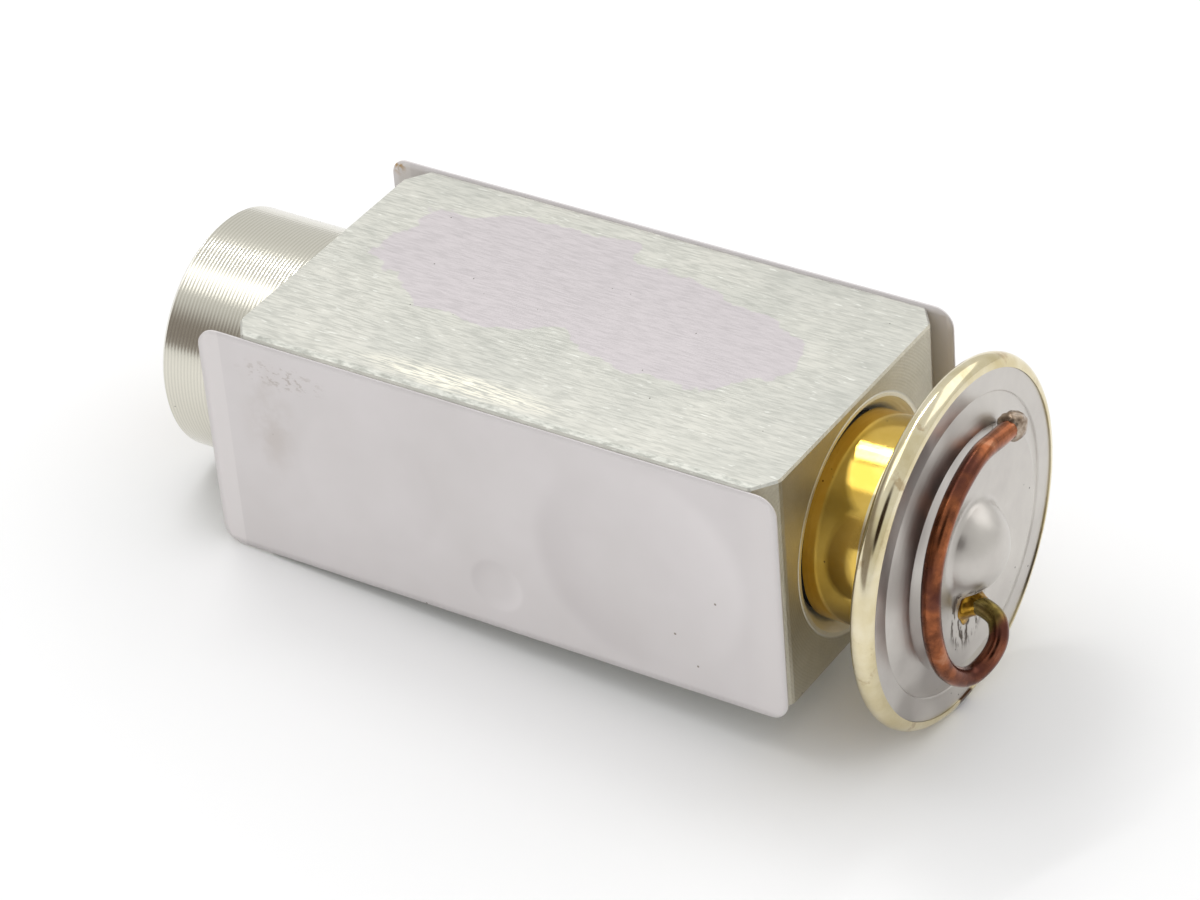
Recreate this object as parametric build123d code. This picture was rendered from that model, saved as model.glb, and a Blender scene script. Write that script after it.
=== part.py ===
from build123d import *
from math import atan2, cos, pi, radians, sin, sqrt, tan
import os

# Block-type expansion valve, lying on its side. Millimetres.
# The X axis is the valve axis, from the adjuster's boss (-X) to the power head (+X).
# The port faces look along -Y (front) and +Y (rear). The origin is where the valve
# axis crosses the plane of the two bolt holes.

# --- valve block, a length of drawn aluminium bar ---
BLOCK_LENGTH = 60.0
BLOCK_DEPTH = 32.9           # port face to port face
BLOCK_HEIGHT = 25.7
END_BEVEL_LONG = 1.85        # bevel of the four upright edges, along X
END_BEVEL_ACROSS = 2.5       # the same bevel, along Y
EDGE_BREAK = 0.2             # on every outer edge of the block
BOSS_RADIUS = 12.4           # turned boss round the adjuster
BOSS_LENGTH = 12.6
BOSS_EDGE = 0.5

# --- bolt holes and ports, placed from the block's two ends ---
BOLT_FROM_BOSS_END = 29.2
BOLT_HOLE_RADIUS = 2.9
BOLT_SPACING = 15.1          # between the two holes, along Z
SEAT_FROM_BOSS_END = 20.0
INLET_BEFORE_SEAT = 4.5
INLET_PORT_RADIUS = 8.0
INLET_PORT_DEPTH = 6.0
INLET_HOLE_RADIUS = 4.2
OUTLET_PORT_OFFSET = 3.7     # port centre, back from the hole in its floor
OUTLET_PORT_RADIUS = 7.0
OUTLET_PORT_DEPTH = 5.5
SUCTION_FROM_HEAD_END = 14.25
SUCTION_PORT_RADIUS = 11.25
SUCTION_PORT_DEPTH = 5.0
SUCTION_BORE_RADIUS = 8.0

# --- fits ---
RUNNING_GAP = 0.05           # radial gap of a sliding or turning fit
SEAL_GAP = 0.03              # a seal ring's gap to the walls it touches
SEATED_GAP = 0.02            # between pieces that are pressed or soldered together
OVERCUT = 1.0                # how far a cutting solid stands past the face it cuts

# --- valve chamber, seat and the way to the outlet ---
CHAMBER_RADIUS = 6.5
ORIFICE_RADIUS = 1.9
ORIFICE_LENGTH = 2.4
SEAT_BEVEL = 0.3
OUTLET_CHAMBER_RADIUS = 2.8
OUTLET_CHAMBER_LENGTH = 5.2
PUSH_ROD_RADIUS = 1.2

# --- rod seal, in a pocket of the suction bore's wall ---
SEAL_POCKET_RADIUS = 3.0
ROD_RING_THICKNESS = 1.72
RETAINER_THICKNESS = 1.0
RETAINER_BORE_RADIUS = 1.5
RETAINER_SUNK = 0.35         # below the near side of the suction bore

# --- adjusting screw ---
ADJUSTER_THREAD_RADIUS = 8.0
ADJUSTER_RECESS = 3.0        # below the boss's free face
ADJUSTER_THREAD_LENGTH = 7.7
ADJUSTER_TRAVEL = 0.5        # each way
ADJUSTER_RING_THICKNESS = 1.4
ADJUSTER_SEAT_WALL = 0.8     # between the ring's groove and the spring cup
SPRING_CUP_DEPTH = 2.0
SPRING_CUP_WALL = 0.9
HEX_KEY_SIZE = 8.0
HEX_SOCKET_DEPTH = 5.0
STEP_CLEARANCE = 0.4         # beyond the travel, where the screw meets the chamber step

# --- spring, ball and the carrier between them ---
SPRING_WIRE_RADIUS = 0.65
SPRING_SIDE_GAP = 0.3
SPRING_COILS = 5.5
BALL_RADIUS = 2.75
BALL_SEAT_GAP = 0.05
CARRIER_RIM_TO_BALL = 1.2    # from the cup's rim to the ball's centre
CARRIER_NOSE_RADIUS = 2.95
CARRIER_NOSE_LENGTH = 2.6
CARRIER_FLANGE_THICKNESS = 1.2
CARRIER_TAIL_LENGTH = 3.5
DAMPER_SHEET = 0.3
DAMPER_LEG_LENGTH = 4.2
DAMPER_LEG_WIDTH = 2.6
VALVE_STROKE = 0.7

# --- power head ---
COLLAR_RADIUS = 10.2
COLLAR_JOINT_FROM_BLOCK = 5.0    # block's end face to the joint with the lower shell
COLLAR_SUNK = 0.6                # collar shoulder below the block's end face
COLLAR_BORE_RADIUS = 6.5
COLLAR_SPIGOT_RADIUS = 7.8
HEAD_THREAD_RADIUS = 9.25
HEAD_THREAD_DEPTH = 5.5
HEAD_LIP_RADIUS = 11.45          # countersink round the collar
THREAD_RELIEF_RADIUS = 8.4
SENSING_BORE_RADIUS = 6.8
HEAD_RING_THICKNESS = 1.38
SHELL_NECK_LENGTH = 2.2
SHELL_WALL = 0.8
SHELL_DISH_RISE = 1.35           # back of the shell, from the neck out to the flange
SHELL_DISH_RUN = 3.4             # the same dish, outwards
PAD_RADIUS = 8.6
PAD_THICKNESS = 1.25
PAD_SIDE_GAP = 0.4
DIAPHRAGM_THICKNESS = 0.2
DIAPHRAGM_WAVE = 0.25
WAVE_FROM_PAD = 1.2
WAVE_FROM_STEP = 0.4
COVER_RADIUS = 16.97
COVER_THICKNESS = 1.2
COVER_STEP_RADIUS = 14.8
COVER_CROWN_RADIUS = 12.0
COVER_CROWN_RISE = 0.9
COVER_STEP = 0.12
DOME_RADIUS = 4.8
DOME_HEIGHT = 3.3
DOME_FOOT_FILLET = 0.9
BEAD_RADIUS = 1.2                # rolled rim of the lower shell, round the cover's edge
BEAD_OVER_COVER = 0.15
SENSING_ROD_RADIUS = 3.2
SENSING_ROD_FROM_RETAINER = 2.6
PUSH_ROD_SOCKET = 4.0

# --- charging tube, a capillary curled on the cover and closed at its end ---
TUBE_RADIUS = 0.95
END_DROP_RADIUS = 1.6
BRAZE_RADIUS = 2.2
BRAZE_HEIGHT = 1.7
BRAZE_TIP = 0.3              # braze left round the tube at the cone's top
TUBE_BEND_SHARE = 0.45       # of the shorter run, taken by the arc at a corner
TUBE_FOOT = (-1.1, -5.3)     # y, z
END_DROP_PLACE = (5.3, 10.9)
# centre-line points between the foot and the drop: height over the cover's edge face, y, z
TUBE_ROUTE = [
    (3.6, -1.1, -5.3),
    (5.1, -2.6, -7.0),
    (4.6, -4.2, -9.0),
    (3.7, -6.9, -9.7),
    (3.1, -10.3, -6.4),
    (2.7, -11.5, -0.8),
    (2.6, -10.5, 5.6),
    (2.6, -7.0, 10.0),
    (2.6, -1.6, 12.1),
    (2.5, 2.6, 11.2),
]

# --- transit films on the port faces ---
FILM_THICKNESS = 0.25
FILM_CORNER_RADIUS = 2.0
FILM_OVER_BOSS_END = 3.2
FILM_OVER_HEAD_END = 1.0
FILM_EDGE_INSET = 0.25       # film's lower edge above the block's bottom edge

# --- places along the valve axis that several pieces share ---
boss_end = -BOLT_FROM_BOSS_END
head_end = boss_end + BLOCK_LENGTH
boss_face = boss_end - BOSS_LENGTH
seat_x = boss_end + SEAT_FROM_BOSS_END
orifice_end = seat_x + ORIFICE_LENGTH
outlet_end = orifice_end + OUTLET_CHAMBER_LENGTH
inlet_x = seat_x - INLET_BEFORE_SEAT
outlet_hole_radius = OUTLET_CHAMBER_LENGTH / 2
outlet_hole_x = orifice_end + outlet_hole_radius
outlet_port_x = outlet_hole_x - OUTLET_PORT_OFFSET
suction_x = head_end - SUCTION_FROM_HEAD_END
retainer_end = suction_x - SUCTION_BORE_RADIUS - RETAINER_SUNK
retainer_start = retainer_end - RETAINER_THICKNESS
pocket_floor = retainer_start - ROD_RING_THICKNESS - 2 * SEAL_GAP
front_face = -BLOCK_DEPTH / 2
rear_face = BLOCK_DEPTH / 2

# adjusting screw, from the boss's free face inwards
screw_face = boss_face + ADJUSTER_RECESS
screw_shoulder = screw_face + ADJUSTER_THREAD_LENGTH
chamber_step = screw_shoulder + ADJUSTER_TRAVEL + STEP_CLEARANCE
groove_start = chamber_step + ADJUSTER_TRAVEL + STEP_CLEARANCE
groove_end = groove_start + ADJUSTER_RING_THICKNESS + 2 * SEAL_GAP
spring_seat = groove_end + ADJUSTER_SEAT_WALL
screw_nose = spring_seat + SPRING_CUP_DEPTH
nose_radius = CHAMBER_RADIUS - RUNNING_GAP
cup_radius = nose_radius - SPRING_CUP_WALL
spring_radius = cup_radius - SPRING_SIDE_GAP - SPRING_WIRE_RADIUS

# ball on the bevelled edge of the orifice, carrier behind it
ball_x = seat_x + ORIFICE_RADIUS + SEAT_BEVEL - (BALL_RADIUS + BALL_SEAT_GAP) * sqrt(2)
carrier_rim = ball_x - CARRIER_RIM_TO_BALL
flange_front = carrier_rim - CARRIER_NOSE_LENGTH
flange_back = flange_front - CARRIER_FLANGE_THICKNESS
carrier_tail = flange_back - CARRIER_TAIL_LENGTH
tail_radius = spring_radius - SPRING_WIRE_RADIUS - SPRING_SIDE_GAP
flange_radius = cup_radius

# power head, from the block's end face outwards
thread_floor = head_end - HEAD_THREAD_DEPTH
countersink_start = head_end - (HEAD_LIP_RADIUS - HEAD_THREAD_RADIUS)
collar_shoulder = head_end - COLLAR_SUNK
shell_back = head_end + COLLAR_JOINT_FROM_BLOCK
pad_floor = shell_back + SHELL_NECK_LENGTH
pad_back = pad_floor + VALVE_STROKE + 2 * RUNNING_GAP
pad_front = pad_back + PAD_THICKNESS
diaphragm_back = pad_front + RUNNING_GAP
cover_back = diaphragm_back + DIAPHRAGM_THICKNESS + SEATED_GAP
cover_face = cover_back + COVER_THICKNESS
crown_face = cover_face + COVER_CROWN_RISE
shell_recess_radius = COVER_RADIUS + SEATED_GAP
bead_x = cover_face - BEAD_RADIUS + BEAD_OVER_COVER
flange_back_x = diaphragm_back - SHELL_WALL
drop_x = crown_face + END_DROP_RADIUS + SEATED_GAP
rod_tip = retainer_end + SENSING_ROD_FROM_RETAINER


def turned(outline):
    """Solid of revolution about the valve axis, from a closed outline of (x, radius)."""
    return revolve(make_face(Polyline(*outline, close=True)), Axis.X)


def along_x(start, end, radius):
    """Round bar on the valve axis."""
    bar = Cylinder(radius, end - start, align=(Align.CENTER, Align.CENTER, Align.MIN))
    return Pos(start, 0, 0) * Rot(0, 90, 0) * bar


def along_y(x, start, end, radius, z=0.0):
    """Round bar square to the port faces."""
    bar = Cylinder(radius, end - start, align=(Align.CENTER, Align.CENTER, Align.MIN))
    return Pos(x, start, z) * Rot(-90, 0, 0) * bar


def seal_ring(x, centre_radius, section_radius):
    """O-ring round the valve axis."""
    return Pos(x, 0, 0) * Rot(0, 90, 0) * Torus(centre_radius, section_radius)


def axis_bores():
    """Everything that is bored along the valve axis, as one stepped solid."""
    past_boss = boss_face - OVERCUT
    past_head = head_end + OVERCUT
    rod_bore = PUSH_ROD_RADIUS + RUNNING_GAP
    return turned([
        (past_boss, 0), (past_boss, ADJUSTER_THREAD_RADIUS),
        (chamber_step, ADJUSTER_THREAD_RADIUS), (chamber_step, CHAMBER_RADIUS),
        (seat_x, CHAMBER_RADIUS), (seat_x, ORIFICE_RADIUS + SEAT_BEVEL),
        (seat_x + SEAT_BEVEL, ORIFICE_RADIUS), (orifice_end, ORIFICE_RADIUS),
        (orifice_end, OUTLET_CHAMBER_RADIUS), (outlet_end, OUTLET_CHAMBER_RADIUS),
        (outlet_end, rod_bore), (pocket_floor, rod_bore),
        (pocket_floor, SEAL_POCKET_RADIUS), (suction_x, SEAL_POCKET_RADIUS),
        (suction_x, SENSING_BORE_RADIUS), (thread_floor, SENSING_BORE_RADIUS),
        (thread_floor, HEAD_THREAD_RADIUS), (countersink_start, HEAD_THREAD_RADIUS),
        (head_end, HEAD_LIP_RADIUS), (past_head, HEAD_LIP_RADIUS), (past_head, 0),
    ])


def port(x, radius, depth, face, inward):
    """Counterbored pipe port in the face at y = face; inward is +1 or -1 along Y."""
    start, end = sorted([face - inward * OVERCUT, face + inward * depth])
    return along_y(x, start, end, radius)


def valve_body():
    """Bar block with its turned boss, the bores along the axis and the ports."""
    left, right = boss_end, head_end
    half = BLOCK_DEPTH / 2
    plan = Polyline(
        (left + END_BEVEL_LONG, -half), (right - END_BEVEL_LONG, -half),
        (right, -half + END_BEVEL_ACROSS), (right, half - END_BEVEL_ACROSS),
        (right - END_BEVEL_LONG, half), (left + END_BEVEL_LONG, half),
        (left, half - END_BEVEL_ACROSS), (left, -half + END_BEVEL_ACROSS),
        close=True,
    )
    block = Pos(0, 0, -BLOCK_HEIGHT / 2) * extrude(make_face(plan), BLOCK_HEIGHT)
    block = chamfer(block.edges(), EDGE_BREAK)
    root = boss_end + OVERCUT
    boss = turned([
        (boss_face, 0), (boss_face, BOSS_RADIUS - BOSS_EDGE),
        (boss_face + BOSS_EDGE, BOSS_RADIUS), (root, BOSS_RADIUS), (root, 0),
    ])
    body = block + boss - axis_bores()
    body -= port(inlet_x, INLET_PORT_RADIUS, INLET_PORT_DEPTH, front_face, 1)
    body -= along_y(inlet_x, front_face, 0, INLET_HOLE_RADIUS)
    body -= port(outlet_port_x, OUTLET_PORT_RADIUS, OUTLET_PORT_DEPTH, rear_face, -1)
    body -= along_y(outlet_hole_x, 0, rear_face, outlet_hole_radius)
    body -= along_y(suction_x, front_face - OVERCUT, rear_face + OVERCUT, SUCTION_BORE_RADIUS)
    for face, inward in ((front_face, 1), (rear_face, -1)):
        body -= port(suction_x, SUCTION_PORT_RADIUS, SUCTION_PORT_DEPTH, face, inward)
    for side in (-1, 1):
        z = side * BOLT_SPACING / 2
        body -= along_y(0, front_face - OVERCUT, rear_face + OVERCUT, BOLT_HOLE_RADIUS, z)
    return body


def port_film(face, outward, lift):
    """Peel-off film over one port face, standing past both ends of the block."""
    length = BLOCK_LENGTH + FILM_OVER_BOSS_END + FILM_OVER_HEAD_END
    height = BLOCK_HEIGHT - 2 * FILM_EDGE_INSET
    middle = (boss_end - FILM_OVER_BOSS_END + head_end + FILM_OVER_HEAD_END) / 2
    sheet = extrude(RectangleRounded(length, height, FILM_CORNER_RADIUS), FILM_THICKNESS)
    return Pos(middle, face, lift) * Rot(-90 * outward, 0, 0) * sheet


def adjusting_screw():
    """Hollow hexagon screw with a ring groove and the spring's cup in its nose."""
    thread = ADJUSTER_THREAD_RADIUS - RUNNING_GAP
    groove = nose_radius + RUNNING_GAP - ADJUSTER_RING_THICKNESS - 2 * SEAL_GAP
    screw = turned([
        (screw_face, 0), (screw_face, thread), (screw_shoulder, thread),
        (screw_shoulder, nose_radius), (groove_start, nose_radius), (groove_start, groove),
        (groove_end, groove), (groove_end, nose_radius), (screw_nose, nose_radius),
        (screw_nose, cup_radius), (spring_seat, cup_radius), (spring_seat, 0),
    ])
    hexagon = RegularPolygon(HEX_KEY_SIZE / 2, 6, major_radius=False)
    depth = HEX_SOCKET_DEPTH + OVERCUT
    key_way = Pos(screw_face - OVERCUT, 0, 0) * Rot(0, 90, 0) * extrude(hexagon, depth)
    return screw - key_way


def adjuster_o_ring():
    section = ADJUSTER_RING_THICKNESS / 2
    centre = CHAMBER_RADIUS - SEAL_GAP - section
    return seal_ring((groove_start + groove_end) / 2, centre, section)


def superheat_spring():
    """Helical spring with ground ends, between the screw's cup and the carrier's flange."""
    start = spring_seat + SEATED_GAP
    end = flange_back - SEATED_GAP
    length = end - start
    coil = Helix(length / SPRING_COILS, length, spring_radius, (start, 0, 0), (1, 0, 0))
    wire = Plane(coil @ 0, z_dir=coil % 0) * Circle(SPRING_WIRE_RADIUS)
    return sweep(wire, path=coil, is_frenet=True) & along_x(start, end, cup_radius)


def ball_carrier():
    """Cup that holds the ball and takes the spring on its flange."""
    carrier = turned([
        (carrier_tail, 0), (carrier_tail, tail_radius), (flange_back, tail_radius),
        (flange_back, flange_radius), (flange_front, flange_radius),
        (flange_front, CARRIER_NOSE_RADIUS), (carrier_rim, CARRIER_NOSE_RADIUS), (carrier_rim, 0),
    ])
    return carrier - Pos(ball_x, 0, 0) * Sphere(BALL_RADIUS + SEATED_GAP)


def carrier_damper():
    """Sheet ring on the carrier with three legs that rub along the chamber wall."""
    outer = CHAMBER_RADIUS - RUNNING_GAP
    ring_front = flange_front + DAMPER_SHEET
    ring = along_x(flange_front, ring_front, flange_radius)
    legs_end = ring_front - DAMPER_LEG_LENGTH
    cup = turned([
        (ring_front, 0), (ring_front, outer), (legs_end, outer),
        (legs_end, outer - DAMPER_SHEET), (flange_front, outer - DAMPER_SHEET), (flange_front, 0),
    ])
    cutter = Pos((legs_end + ring_front) / 2, 0, CHAMBER_RADIUS / 2) * Box(
        2 * DAMPER_LEG_LENGTH, DAMPER_LEG_WIDTH, CHAMBER_RADIUS)
    for turn in (60, 180, 300):
        ring += cup & Rot(turn, 0, 0) * cutter
    nose = along_x(flange_front - OVERCUT, ring_front + OVERCUT, CARRIER_NOSE_RADIUS + SEATED_GAP)
    return ring - nose


def valve_ball():
    return Pos(ball_x, 0, 0) * Sphere(BALL_RADIUS)


def push_rod():
    """Thin rod from the ball to the bottom of the socket in the sensing rod."""
    return along_x(ball_x + BALL_RADIUS + SEATED_GAP, rod_tip + PUSH_ROD_SOCKET, PUSH_ROD_RADIUS)


def sensing_rod():
    """Thick rod across the suction bore, from the push rod to the diaphragm's pad."""
    socket = along_x(rod_tip - OVERCUT, rod_tip + PUSH_ROD_SOCKET, PUSH_ROD_RADIUS + SEATED_GAP)
    return along_x(rod_tip, pad_back, SENSING_ROD_RADIUS) - socket


def rod_seal_ring():
    section = ROD_RING_THICKNESS / 2
    return seal_ring(pocket_floor + section + SEAL_GAP, SEAL_POCKET_RADIUS - SEAL_GAP - section, section)


def rod_seal_retainer():
    """Washer pressed into the pocket behind the rod's seal ring."""
    washer = along_x(retainer_start, retainer_end, SEAL_POCKET_RADIUS - SEATED_GAP)
    return washer - along_x(retainer_start - OVERCUT, retainer_end + OVERCUT, RETAINER_BORE_RADIUS)


def head_collar():
    """Threaded brass collar, with the spigot that carries the lower shell."""
    thread = HEAD_THREAD_RADIUS - RUNNING_GAP
    thread_end = thread_floor + 2 * RUNNING_GAP
    relief_start = countersink_start - RUNNING_GAP
    return turned([
        (thread_end, COLLAR_BORE_RADIUS), (thread_end, thread), (relief_start, thread),
        (relief_start, THREAD_RELIEF_RADIUS), (collar_shoulder, THREAD_RELIEF_RADIUS),
        (collar_shoulder, COLLAR_RADIUS), (shell_back, COLLAR_RADIUS),
        (shell_back, COLLAR_SPIGOT_RADIUS), (pad_floor, COLLAR_SPIGOT_RADIUS),
        (pad_floor, COLLAR_BORE_RADIUS),
    ])


def head_seal_ring():
    section = HEAD_RING_THICKNESS / 2
    return seal_ring(collar_shoulder - section - SEAL_GAP,
                     THREAD_RELIEF_RADIUS + section + SEAL_GAP, section)


def head_lower_shell():
    """Brass shell whose rim is rolled round the diaphragm and the cover."""
    spigot = COLLAR_SPIGOT_RADIUS + SEATED_GAP
    cavity = PAD_RADIUS + PAD_SIDE_GAP
    neck_end = flange_back_x - SHELL_DISH_RISE
    dish_radius = COLLAR_RADIUS + SHELL_DISH_RUN
    bead_foot = (flange_back_x, shell_recess_radius)
    bead_side = (bead_x, shell_recess_radius + BEAD_RADIUS)
    bead_crest = (bead_x + BEAD_RADIUS, shell_recess_radius)
    section = Polyline(
        bead_foot, (flange_back_x - SEATED_GAP, dish_radius), (neck_end, COLLAR_RADIUS),
        (shell_back, COLLAR_RADIUS), (shell_back, spigot), (pad_floor, spigot),
        (pad_floor, cavity), (neck_end + SHELL_WALL, cavity),
        (diaphragm_back, dish_radius + SHELL_WALL), (diaphragm_back, shell_recess_radius),
        bead_crest,
    )
    return revolve(make_face(section + ThreePointArc(bead_crest, bead_side, bead_foot)), Axis.X)


def diaphragm():
    """Thin disc with one ring-shaped wave, clamped in the rim."""
    inner, outer = PAD_RADIUS + WAVE_FROM_PAD, COVER_STEP_RADIUS - WAVE_FROM_STEP
    crest = (inner + outer) / 2
    back, front = diaphragm_back, diaphragm_back + DIAPHRAGM_THICKNESS
    wave = DIAPHRAGM_WAVE
    return turned([
        (back, 0), (back, inner), (back + wave, crest), (back, outer), (back, COVER_RADIUS),
        (front, COVER_RADIUS), (front, outer), (front + wave, crest), (front, inner), (front, 0),
    ])


def diaphragm_pad():
    """Disc that carries the diaphragm's push to the sensing rod."""
    return along_x(pad_back, pad_front, PAD_RADIUS)


def cover_line(depth, step):
    """The cover's pressed line, from its step to the top of the dome, at a depth behind the face."""
    dome_sphere = (DOME_RADIUS ** 2 + DOME_HEIGHT ** 2) / (2 * DOME_HEIGHT)
    centre = crown_face + DOME_HEIGHT - dome_sphere
    radius = dome_sphere - depth
    crown = crown_face - depth
    foot = sqrt(radius ** 2 - (crown - centre) ** 2)
    half = atan2(foot, crown - centre) / 2
    pressed = Polyline(
        (cover_face - depth, COVER_STEP_RADIUS), (cover_face - step - depth, COVER_STEP_RADIUS - step),
        (crown, COVER_CROWN_RADIUS), (crown, foot),
    )
    middle = (centre + radius * cos(half), radius * sin(half))
    return pressed, ThreePointArc((crown, foot), middle, (centre + radius, 0))


def head_cover():
    """Pressed cover: flat edge, step, raised crown and the dome in its middle."""
    front, front_dome = cover_line(0, COVER_STEP)
    back, back_dome = cover_line(COVER_THICKNESS, -COVER_STEP)
    edge = Polyline(back @ 0, (cover_back, COVER_RADIUS), (cover_face, COVER_RADIUS), front @ 0)
    axis_line = Line(front_dome @ 1, back_dome @ 1)
    section = make_face(Curve() + [edge, front, front_dome, axis_line, back_dome, back])
    foot = section.vertices().sort_by_distance(front @ 1)[0]
    shell = revolve(fillet(foot, DOME_FOOT_FILLET), Axis.X)
    tube_hole = along_x(cover_back - OVERCUT, crown_face + DOME_HEIGHT, TUBE_RADIUS + SEATED_GAP)
    return shell - Pos(0, *TUBE_FOOT) * tube_hole


def charging_tube_path():
    """Straight runs joined by tangent arcs, from under the cover to the end drop."""
    points = [Vector(cover_face - COVER_THICKNESS / 2, *TUBE_FOOT)]
    points += [Vector(cover_face + rise, y, z) for rise, y, z in TUBE_ROUTE]
    points.append(Vector(drop_x, *END_DROP_PLACE))
    radii = []
    for before, corner, after in zip(points, points[1:], points[2:]):
        run_in, run_out = corner - before, after - corner
        turn = radians(run_in.get_angle(run_out))
        radii.append(TUBE_BEND_SHARE * min(run_in.length, run_out.length) / tan(turn / 2))
    print("tube bend radii", [round(r, 2) for r in radii])
    return FilletPolyline(*points, radius=radii)


def charging_tube():
    path = charging_tube_path()
    section = Plane(path @ 0, z_dir=path % 0) * Circle(TUBE_RADIUS)
    tube = sweep(section, path=path)
    print("tube length", round(path.length, 1), "volume ratio",
          round(tube.volume / (path.length * pi * TUBE_RADIUS ** 2), 3))
    return tube


def tube_end_drop():
    """Drop of solder that closes the tube's free end."""
    return Pos(drop_x, *END_DROP_PLACE) * Sphere(END_DROP_RADIUS) - charging_tube()


def tube_braze():
    """Cone of braze round the tube's foot, where the cover's crown meets the dome."""
    cone = Cone(BRAZE_RADIUS, TUBE_RADIUS + BRAZE_TIP, BRAZE_HEIGHT,
                align=(Align.CENTER, Align.CENTER, Align.MIN))
    braze = Pos(crown_face + SEATED_GAP, *TUBE_FOOT) * Rot(0, 90, 0) * cone
    braze = braze - charging_tube() - head_cover()
    return braze.solids().sort_by(SortBy.VOLUME)[-1]


PIECES = {
    "valve_body": valve_body,
    "adjusting_screw": adjusting_screw,
    "adjuster_o_ring": adjuster_o_ring,
    "superheat_spring": superheat_spring,
    "ball_carrier": ball_carrier,
    "carrier_damper": carrier_damper,
    "valve_ball": valve_ball,
    "push_rod": push_rod,
    "sensing_rod": sensing_rod,
    "rod_seal_ring": rod_seal_ring,
    "rod_seal_retainer": rod_seal_retainer,
    "head_collar": head_collar,
    "head_seal_ring": head_seal_ring,
    "head_lower_shell": head_lower_shell,
    "diaphragm": diaphragm,
    "diaphragm_pad": diaphragm_pad,
    "head_cover": head_cover,
    "charging_tube": charging_tube,
    "tube_end_drop": tube_end_drop,
    "tube_braze": tube_braze,
    "front_port_film": lambda: port_film(front_face, -1, 0),
    "rear_port_film": lambda: port_film(rear_face, 1, 2 * FILM_EDGE_INSET),
}

os.makedirs("parts", exist_ok=True)
for name, make in PIECES.items():
    export_step(make(), f"parts/{name}.step")
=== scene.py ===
from math import cos, pi, radians, sin

import bmesh
import bpy
from bpy.props import FloatProperty, FloatVectorProperty, IntProperty, PointerProperty
from mathutils import Matrix, Vector, noise


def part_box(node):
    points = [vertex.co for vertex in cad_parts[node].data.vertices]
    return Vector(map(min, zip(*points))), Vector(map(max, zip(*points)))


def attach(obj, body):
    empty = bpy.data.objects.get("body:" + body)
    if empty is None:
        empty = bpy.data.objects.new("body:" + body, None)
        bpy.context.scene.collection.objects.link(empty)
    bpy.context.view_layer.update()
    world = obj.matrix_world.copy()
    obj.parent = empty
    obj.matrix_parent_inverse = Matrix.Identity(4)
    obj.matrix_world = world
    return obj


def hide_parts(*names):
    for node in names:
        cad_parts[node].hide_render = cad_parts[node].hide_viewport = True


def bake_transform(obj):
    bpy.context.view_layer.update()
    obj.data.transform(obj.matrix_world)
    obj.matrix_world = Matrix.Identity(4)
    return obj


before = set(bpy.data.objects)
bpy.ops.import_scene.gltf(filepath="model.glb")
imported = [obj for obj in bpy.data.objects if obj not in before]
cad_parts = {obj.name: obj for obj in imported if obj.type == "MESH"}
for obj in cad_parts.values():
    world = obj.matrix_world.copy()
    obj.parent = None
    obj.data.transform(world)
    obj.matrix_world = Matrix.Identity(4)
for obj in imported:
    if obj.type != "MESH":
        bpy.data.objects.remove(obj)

bl_info = {
    "name": "Block expansion valve",
    "version": (1, 0, 0),
    "blender": (4, 5, 0),
    "location": "3D View > Sidebar > Valve",
    "description": "Dresses the valve's CAD pieces; builds films, capillary, solder, braze, spring",
    "category": "Object",
}

MM = 0.001
TOUCHING = 1e-7          # vertices closer than this are one

# --- places that the frame gives: X is the valve axis, -Y the inlet face ---
block_low, block_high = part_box("valve_body")
front_low, front_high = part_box("front_port_film")
rear_low, rear_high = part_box("rear_port_film")
_, shell_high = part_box("head_lower_shell")
drop_low, drop_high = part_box("tube_end_drop")
spring_low, spring_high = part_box("superheat_spring")
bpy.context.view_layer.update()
head_end = block_high.x

# --- places along the axis that the pieces share, in metres ---
BOSS_LENGTH = 12.6 * MM
boss_end = block_low.x + BOSS_LENGTH
COVER_EDGE_FACE = 41.52 * MM
CROWN_RISE = 0.9 * MM
crown_face = COVER_EDGE_FACE + CROWN_RISE

# countersink round the collar, and the raised lip outside it
COUNTERSINK_RADIUS = 11.45 * MM
COUNTERSINK_DEPTH = 2.5 * MM
LIP_RADIUS = 11.9 * MM

# centres and radii of what the films cover: x, z, radius
INLET_PORT = (-13.7 * MM, 0.0, 8.0 * MM)
OUTLET_PORT = (-7.9 * MM, 0.0, 7.0 * MM)
SUCTION_PORT = (16.55 * MM, 0.0, 11.25 * MM)
BOLT_HOLES = ((0.0, 7.55 * MM, 2.9 * MM), (0.0, -7.55 * MM, 2.9 * MM))

# the holes that show in the front film, each with the way (x, z) to its lighter side
IMPRESSIONS = (
    (BOLT_HOLES[1], (0.8, -0.5)),
    (SUCTION_PORT, (0.9, 0.45)),
    (INLET_PORT, (-0.3, 0.1)),
)

# marks as ellipses, centre and half-axes, in millimetres: on the block's top in x and y,
# on the front film in x and z
LABEL_PATCHES = (((-9, 4.5), (25, 14)), ((10, 2), (21, 12)))
FILM_SMUDGE = ((-23, 9.4), (6.5, 2))
FILM_COLUMN = ((-25, 4), (4, 9))

# height of the films' slight waves, and how many there are in a metre
FILM_WAVE = 0.03 * MM
FILM_WAVES_PER_METRE = 120

# capillary's centre line: height over the cover's edge face, y, z, in millimetres
TUBE_FOOT = (-0.6, -1.1, -5.3)
TUBE_ROUTE = (
    (3.6, -1.1, -5.3),
    (5.1, -2.6, -7.0),
    (4.6, -4.2, -9.0),
    (3.7, -6.9, -9.7),
    (3.1, -10.3, -6.4),
    (2.7, -11.5, -0.8),
    (2.6, -10.5, 5.6),
    (2.6, -7.0, 10.0),
    (2.6, -1.6, 12.1),
    (2.5, 2.6, 11.2),
    (2.52, 5.3, 10.9),
)
foot_on_cover = (crown_face, TUBE_FOOT[1] * MM, TUBE_FOOT[2] * MM)

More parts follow.
